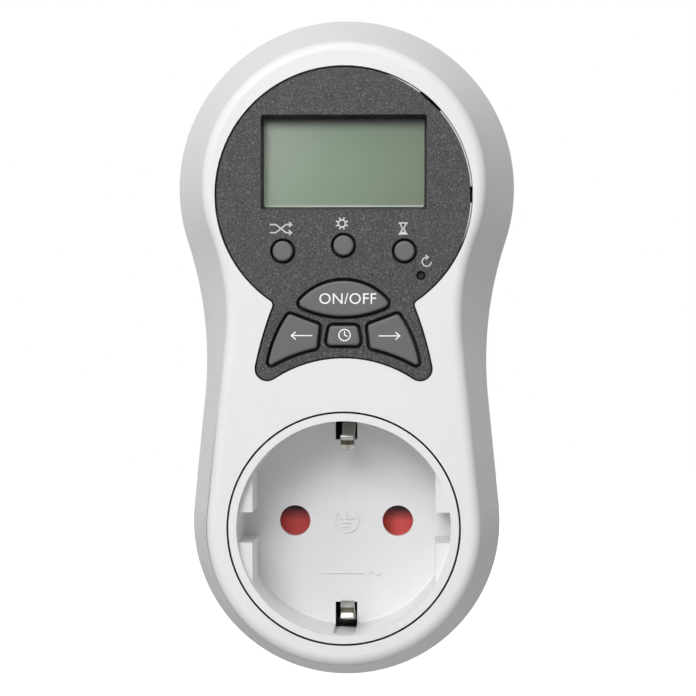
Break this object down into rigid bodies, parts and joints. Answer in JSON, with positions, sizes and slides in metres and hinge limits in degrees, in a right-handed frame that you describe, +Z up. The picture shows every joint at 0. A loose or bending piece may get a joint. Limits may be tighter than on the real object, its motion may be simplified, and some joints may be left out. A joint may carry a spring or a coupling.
{
  "type": "plug-in timer",
  "caption": "Plug-in digital timer: waisted two-lobe housing, display and keys on a dark panel above a round earthed socket, with a two-pin earthed plug behind.",
  "frame": {"origin": "middle of the plug's end face, between the roots of its two pins", "axes": "+Y into the wall, along the plug pins; +Z up, from the socket to the display; +X right, seen from the front"},
  "size_m": [0.0618, 0.0745, 0.1205],
  "materials": {
    "white_plastic": "white moulded plastic, fine satin",
    "grey_panel": "dark grey plastic with a fine spark-eroded grain",
    "grey_key": "mid grey satin plastic",
    "clear_window": "clear polished plastic",
    "display_glass": "grey-green reflective display, blank",
    "white_moulding": "natural white moulded plastic",
    "connector_rubber": "layered conductive rubber",
    "switch_plastic": "black moulded plastic",
    "black_moulding": "black moulded plastic",
    "circuit_board": "green solder resist over glass fibre",
    "battery_steel": "plated steel can",
    "black_resin": "black potting resin",
    "relay_case": "black sealed relay case",
    "capacitor_case": "yellow boxed capacitor",
    "varistor_lacquer": "blue lacquer",
    "capacitor_sleeve": "dark shrink sleeve",
    "resistor_lacquer": "grey-blue lacquer",
    "ribbon_insulation": "grey flat cable",
    "shutter_red": "red moulded plastic",
    "spring_steel": "drawn spring wire",
    "contact_brass": "pressed brass sheet",
    "blackened_steel": "phosphated steel strip",
    "nickel_plate": "nickel plate over brass",
    "zinc_steel": "zinc plated steel",
    "brown_insulation": "brown wire insulation",
    "blue_insulation": "blue wire insulation"
  },
  "bodies": {
    "housing": {"front_shell": "white_plastic", "rear_shell": "white_plastic", "housing_screws": "zinc_steel", "control_panel": "grey_panel", "display_window": "clear_window", "display_cell": "display_glass", "display_tray": "white_moulding", "contact_strips": "connector_rubber", "key_switches": "switch_plastic", "control_board": "circuit_board", "backup_battery": "battery_steel", "controller_chip": "black_resin", "clock_crystal": "battery_steel", "power_board": "circuit_board", "relay": "relay_case", "film_capacitor": "capacitor_case", "varistor": "varistor_lacquer", "smoothing_capacitor": "capacitor_sleeve", "resistors": "resistor_lacquer", "diodes": "black_resin", "fuse": "switch_plastic", "ribbon_cable": "ribbon_insulation", "board_screws": "zinc_steel", "socket_cup": "white_plastic", "contact_block": "white_moulding", "shutter_spring": "spring_steel", "line_contact": "contact_brass", "neutral_contact": "contact_brass", "line_pin": "nickel_plate", "neutral_pin": "nickel_plate", "upper_plug_earth": "nickel_plate", "lower_plug_earth": "nickel_plate", "earth_strap": "blackened_steel", "line_wire": "brown_insulation", "load_wire": "brown_insulation", "neutral_wire": "blue_insulation"},
    "key_random": {"key_random": "grey_key", "plunger_random": "black_moulding"},
    "key_set": {"key_set": "grey_key", "plunger_set": "black_moulding"},
    "key_countdown": {"key_countdown": "grey_key", "plunger_countdown": "black_moulding"},
    "key_manual": {"key_manual": "grey_key", "plunger_manual": "black_moulding"},
    "key_time": {"key_time": "grey_key", "plunger_time": "black_moulding"},
    "key_left": {"key_left": "grey_key", "plunger_left": "black_moulding"},
    "key_right": {"key_right": "grey_key", "plunger_right": "black_moulding"},
    "reset_button": {"reset_plunger": "black_moulding"},
    "shutter": {"shutter": "shutter_red"},
    "upper_earth_clip": {"upper_earth_clip": "nickel_plate"},
    "lower_earth_clip": {"lower_earth_clip": "nickel_plate"}
  },
  "joints": [
    {"name": "press_random", "type": "slide", "parent": "housing", "child": "key_random", "axis": [0, 1, 0], "range_m": [0, 0.0005], "stiffness_N_per_m": 3000},
    {"name": "press_set", "type": "slide", "parent": "housing", "child": "key_set", "axis": [0, 1, 0], "range_m": [0, 0.0005], "stiffness_N_per_m": 3000},
    {"name": "press_countdown", "type": "slide", "parent": "housing", "child": "key_countdown", "axis": [0, 1, 0], "range_m": [0, 0.0005], "stiffness_N_per_m": 3000},
    {"name": "press_manual", "type": "slide", "parent": "housing", "child": "key_manual", "axis": [0, 1, 0], "range_m": [0, 0.0005], "stiffness_N_per_m": 3000},
    {"name": "press_time", "type": "slide", "parent": "housing", "child": "key_time", "axis": [0, 1, 0], "range_m": [0, 0.0005], "stiffness_N_per_m": 3000},
    {"name": "press_left", "type": "slide", "parent": "housing", "child": "key_left", "axis": [0, 1, 0], "range_m": [0, 0.0005], "stiffness_N_per_m": 3000},
    {"name": "press_right", "type": "slide", "parent": "housing", "child": "key_right", "axis": [0, 1, 0], "range_m": [0, 0.0005], "stiffness_N_per_m": 3000},
    {"name": "press_reset", "type": "slide", "parent": "housing", "child": "reset_button", "axis": [0, 1, 0], "range_m": [0, 0.00025], "stiffness_N_per_m": 6000},
    {"name": "shutter_lift", "type": "slide", "parent": "housing", "child": "shutter", "axis": [0, 0, 1], "range_m": [0, 0.0062], "stiffness_N_per_m": 300, "springref_m": -0.001, "deforming": ["shutter_spring"]},
    {"name": "upper_clip_flex", "type": "hinge", "parent": "housing", "child": "upper_earth_clip", "pos_m": [0, -0.0318, 0.018], "axis": [-1, 0, 0], "range_deg": [0, 9], "stiffness_Nm_per_rad": 1},
    {"name": "lower_clip_flex", "type": "hinge", "parent": "housing", "child": "lower_earth_clip", "pos_m": [0, -0.0318, -0.018], "axis": [1, 0, 0], "range_deg": [0, 9], "stiffness_Nm_per_rad": 1}
  ]
}
